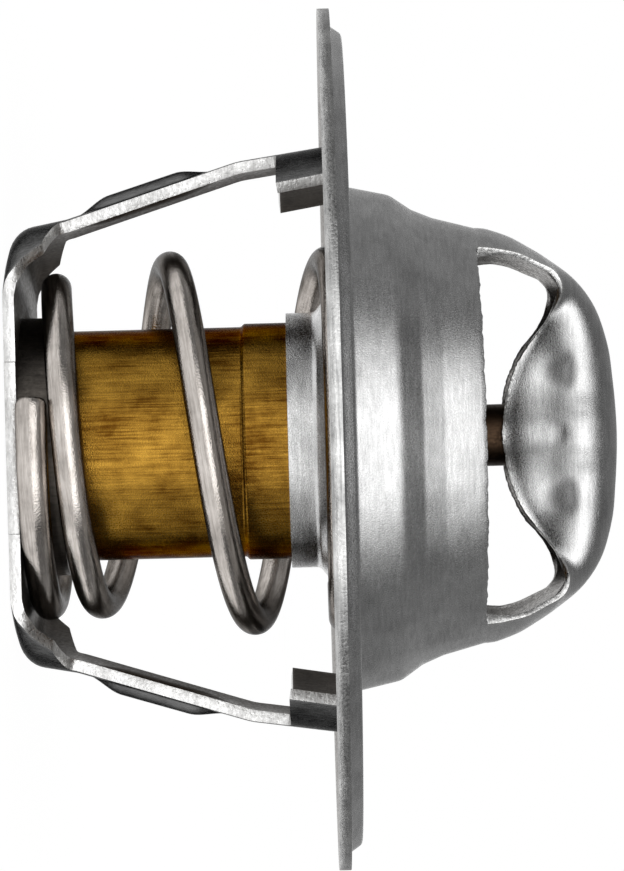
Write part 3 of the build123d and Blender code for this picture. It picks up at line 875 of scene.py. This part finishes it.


# The upper frame's steel gets painted shade in its dents and its crushed spot.
frame_steel = metal("frame_steel", grey(0.4), grey(0.73), (0.17, 0.36), (15, 0.018),
                    ((0.6, 0.6, 6), 0.003), mark="painted_dent_shade")
print("frame steel has", len(frame_steel.node_tree.nodes), "nodes")

# %% [markdown]
# The frames are plain steel, brighter where the die sheared them. Their inner faces are darker copies
# of the same steel, painted shade, and duller. The carrier and the spring are darker steel, the cup
# and the guide are brass, and the piston is nearly black.
# Colours could be read off the photograph, but it shows mostly reflections; these were tried in
# renders until most parts of the picture were about as bright as there.

# %% Finishes
# painted shade: the inside of the upper sheet is its own steel made darker
bell_inside_painted_shade = metal("bell_inside_painted_shade", (0.22, 0.21, 0.2), (0.42, 0.41, 0.4), (0.25, 0.45), (5, 0.015),
                    ((6, 6, 1), 0.004))
# painted shade: the inner faces of the lower frame are its steel made darker
inner_steel_painted_shade = metal("inner_steel_painted_shade", (0.05, 0.045, 0.04), (0.14, 0.125, 0.11), (0.3, 0.5), (5, 0.015),
                    ((6, 6, 1), 0.004))
sheared_steel = metal("sheared_steel", (0.4, 0.395, 0.39), (0.94, 0.94, 0.93), (0.25, 0.45), (5, 0.04),
                      ((1.2, 1.2, 5), 0.006))
rim_steel = metal("rim_steel", grey(0.2), (0.74, 0.74, 0.73), (0.2, 0.4), (6, 0.02),
                  ((0.4, 0.4, 8), 0.006))
carrier_steel = metal("carrier_steel", grey(0.11), grey(0.26), (0.2, 0.36), (6, 0.012),
                      ((7, 7, 1), 0.004), edge=0.12)
spring_steel = metal("spring_steel", (0.26, 0.238, 0.216), (0.8, 0.745, 0.7), (0.1, 0.26), (8, 0.02),
                     ((0.5, 6, 1), 0.004), coordinates="UV", edge=0.2)
valve_steel = metal("valve_steel", grey(0.36), grey(0.78), (0.14, 0.32), (13, 0.014),
                    ((0.5, 0.5, 7), 0.003))
cup_brass = metal("cup_brass", (0.1, 0.04, 0.004), (0.45, 0.245, 0.036), (0.12, 0.34), (13, 0.016),
                  ((9, 9, 0.3), 0.012), edge=0.2, calm=0.22)
piston_steel = metal("piston_steel", (0.03, 0.018, 0.012), (0.08, 0.05, 0.03), (0.3, 0.5), (6, 0.006),
                     ((8, 8, 1), 0.003))

# The inner faces of both frames wear the darker copies, as painted shade.
upper_finishes = (frame_steel, rim_steel, bell_inside_painted_shade, sheared_steel, sheared_steel, bell_inside_painted_shade)
lower_finishes = (carrier_steel, sheared_steel, inner_steel_painted_shade)
for piece, finishes in ((upper_frame, upper_finishes), (lower_frame, lower_finishes),
                        (spring, (spring_steel,)), (valve_plate, (valve_steel,)),
                        (element_cup, (cup_brass,)), (guide, (cup_brass,)), (piston, (piston_steel,))):
    for finish in finishes:
        piece.data.materials.append(finish)
print("upper frame wears", [finish.name for finish in upper_finishes])

# %% [markdown]
# Three inner pieces are hidden in the closed cup: the wax, the rubber sleeve and a plastic washer.
# They could be rebuilt too, but nobody sees them; their CAD meshes stay and get a plain finish with
# some grain.

# %% Hidden pieces
MOTTLE_LOW, MOTTLE_HIGH, MOTTLE_DEPTH = 0.3, 0.7, 0.02

def soft_stuff(name, dark, light, roughness, per_mm):
    """A soft, not metallic finish with a mottled colour and a fine bump."""
    material = bpy.data.materials.new(name)
    material.use_nodes = True
    tree = material.node_tree
    surface = tree.nodes["Principled BSDF"]
    surface.inputs["Roughness"].default_value = roughness
    mottle = grain(tree, per_mm)
    colour = colours(tree, spread(tree, mottle, MOTTLE_LOW, MOTTLE_HIGH), (0, dark), (1, light))
    tree.links.new(colour, surface.inputs["Base Color"])
    tree.links.new(bumped(tree, mottle, MOTTLE_DEPTH), surface.inputs["Normal"])
    return material


hidden = {"wax_pellet": soft_stuff("wax", (0.5, 0.33, 0.2), (0.62, 0.44, 0.28), 0.55, 2),
          "rubber_sleeve": soft_stuff("sleeve_rubber", grey(0.02), grey(0.05), 0.6, 3),
          "backup_washer": soft_stuff("washer_plastic", (0.6, 0.58, 0.52), (0.72, 0.7, 0.64), 0.4, 3)}
for name, material in hidden.items():
    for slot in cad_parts[name].material_slots:
        slot.material = material
print("hidden pieces:", list(hidden))

# %% [markdown]
# A product photograph of bare metal is mostly a picture of what surrounds it. Here that is a white
# room, which the camera sees as plain white and which the metal mirrors.
# A backdrop image would bring its own light along; the room only lights everything else a dim grey,
# so that the lamp below can draw the shapes.

# %% White room
ROOM_GREY = 0.35

def shown_rays(tree):
    """1 for rays from the camera, or from it by way of a mirror or a glass, and 0 for the others."""
    path = node(tree, "ShaderNodeLightPath").outputs
    mirrored = node(tree, "ShaderNodeMath", {0: path["Is Glossy Ray"], 1: path["Is Transmission Ray"]},
                    operation="MAXIMUM").outputs[0]
    return node(tree, "ShaderNodeMath", {0: path["Is Camera Ray"], 1: mirrored},
                operation="MAXIMUM").outputs[0]


world = bpy.data.worlds.new("room")
bpy.context.scene.world = world
world.use_nodes = True
room_tree = world.node_tree
room_tree.nodes.clear()
room_colour = mixed_colours(room_tree, shown_rays(room_tree), (*grey(ROOM_GREY), 1), (*grey(1), 1))
background = node(room_tree, "ShaderNodeBackground", {"Color": room_colour})
node(room_tree, "ShaderNodeOutputWorld", {"Surface": background.outputs[0]})
print("room nodes:", len(room_tree.nodes))

# %% [markdown]
# In an all white room bare metal looks flat. Photographers put dark cards beside it, and the metal
# shows them as its dark ends. Two cards stand at the sides and one hangs over the bridge.
# They could be plain boards, but then they would also cast shadows; only mirrored rays see these.

# %% Grey cards
CARD_REACH, CARD_FRONT, CARD_BACK = 220, -200, 900
CARD_LOW, CARD_HIGH = -20, 400
TOP_CARD_FRONT, TOP_CARD_HEIGHT = -140, 240
FAR_FROM = 0.6

def grey_card(name, corners, near, far):
    """A grey card that only the metal shows. Its first two corners are the near edge, and its grey
    goes from the near to the far one along Y."""
    mesh = bpy.data.meshes.new(name)
    mesh.from_pydata([[c * MM for c in corner] for corner in corners], [], [(0, 1, 2, 3)])
    card = bpy.data.objects.new(name, mesh)
    bpy.context.scene.collection.objects.link(card)
    card.visible_camera = card.visible_diffuse = card.visible_shadow = False
    material = bpy.data.materials.new(name)
    material.use_nodes = True
    tree = material.node_tree
    tree.nodes.clear()
    place = node(tree, "ShaderNodeTexCoord").outputs["Object"]
    depth = node(tree, "ShaderNodeSeparateXYZ", {0: place}).outputs["Y"]
    share = spread(tree, depth, corners[0][1] * MM, corners[2][1] * MM)
    shade = colours(tree, share, (0, grey(near)), (FAR_FROM, grey(far)))
    glow = node(tree, "ShaderNodeEmission", {"Color": shade})
    node(tree, "ShaderNodeOutputMaterial", {"Surface": glow.outputs[0]})
    mesh.materials.append(material)
    print(name, "from grey", near, "to", far)


for side, name, near, far in ((1, "card under the picture", 0.12, 0.36),
                              (-1, "card over the picture", 0.16, 0.4)):
    x = side * CARD_REACH
    grey_card(name, [(x, CARD_FRONT, CARD_LOW), (x, CARD_FRONT, CARD_HIGH),
                     (x, CARD_BACK, CARD_HIGH), (x, CARD_BACK, CARD_LOW)], near, far)
grey_card("card over the bridge",
          [(-CARD_REACH, TOP_CARD_FRONT, TOP_CARD_HEIGHT), (CARD_REACH, TOP_CARD_FRONT, TOP_CARD_HEIGHT),
           (CARD_REACH, CARD_BACK, TOP_CARD_HEIGHT), (-CARD_REACH, CARD_BACK, TOP_CARD_HEIGHT)],
          0.12, 0.3)

# %% [markdown]
# One large lamp in front gives the bright band along the middle of every round piece.
# Several small ones would leave as many bright spots, which the photograph does not have.

# %% Front lamp
LAMP_PLACE, LAMP_AIM = Vector((0, -420, 40)), Vector((0, 0, 18))
LAMP_SIZE, LAMP_WATTS = 560, 1.1

lamp = bpy.data.lights.new("front lamp", "AREA")
lamp.size = LAMP_SIZE * MM
lamp.energy = LAMP_WATTS
lamp_holder = bpy.data.objects.new("front lamp", lamp)
lamp_holder.location = LAMP_PLACE * MM
lamp_holder.rotation_euler = (LAMP_AIM - LAMP_PLACE).to_track_quat("-Z", "Y").to_euler()
bpy.context.scene.collection.objects.link(lamp_holder)
print("lamp", round((LAMP_AIM - LAMP_PLACE).length), "mm away")

# %% [markdown]
# The part stands on a white floor. A shadow catcher would leave the floor out of the picture.
# This one is mostly glowing white to the camera and in the metal, with a tenth of plain paper
# that keeps a faint shadow.

# %% Floor
FLOOR_SIZE, FLOOR_DROP = 3.0, 0.0001
PAPER_GREY, FLOOR_GLOW, WHITE_SHARE = 0.8, 1.08, 0.9

half = FLOOR_SIZE / 2
floor_corners = [(-half, -half, 0), (half, -half, 0), (half, half, 0), (-half, half, 0)]
floor_mesh = bpy.data.meshes.new("floor")
floor_mesh.from_pydata(floor_corners, [], [(0, 1, 2, 3)])
floor = bpy.data.objects.new("floor", floor_mesh)
floor.location.z = -FLOOR_DROP
bpy.context.scene.collection.objects.link(floor)
floor_material = bpy.data.materials.new("pale_floor")
floor_material.use_nodes = True
floor_tree = floor_material.node_tree
floor_tree.nodes.clear()
paper = node(floor_tree, "ShaderNodeBsdfDiffuse", {"Color": (*grey(PAPER_GREY), 1)})
white = node(floor_tree, "ShaderNodeEmission", {"Color": (*grey(1), 1), "Strength": FLOOR_GLOW})
share = spread(floor_tree, shown_rays(floor_tree), 0, 1, 0.0, WHITE_SHARE)
both = node(floor_tree, "ShaderNodeMixShader", {0: share, 1: paper.outputs[0], 2: white.outputs[0]})
node(floor_tree, "ShaderNodeOutputMaterial", {"Surface": both.outputs[0]})
floor_mesh.materials.append(floor_material)
print("floor of", FLOOR_SIZE, "m")
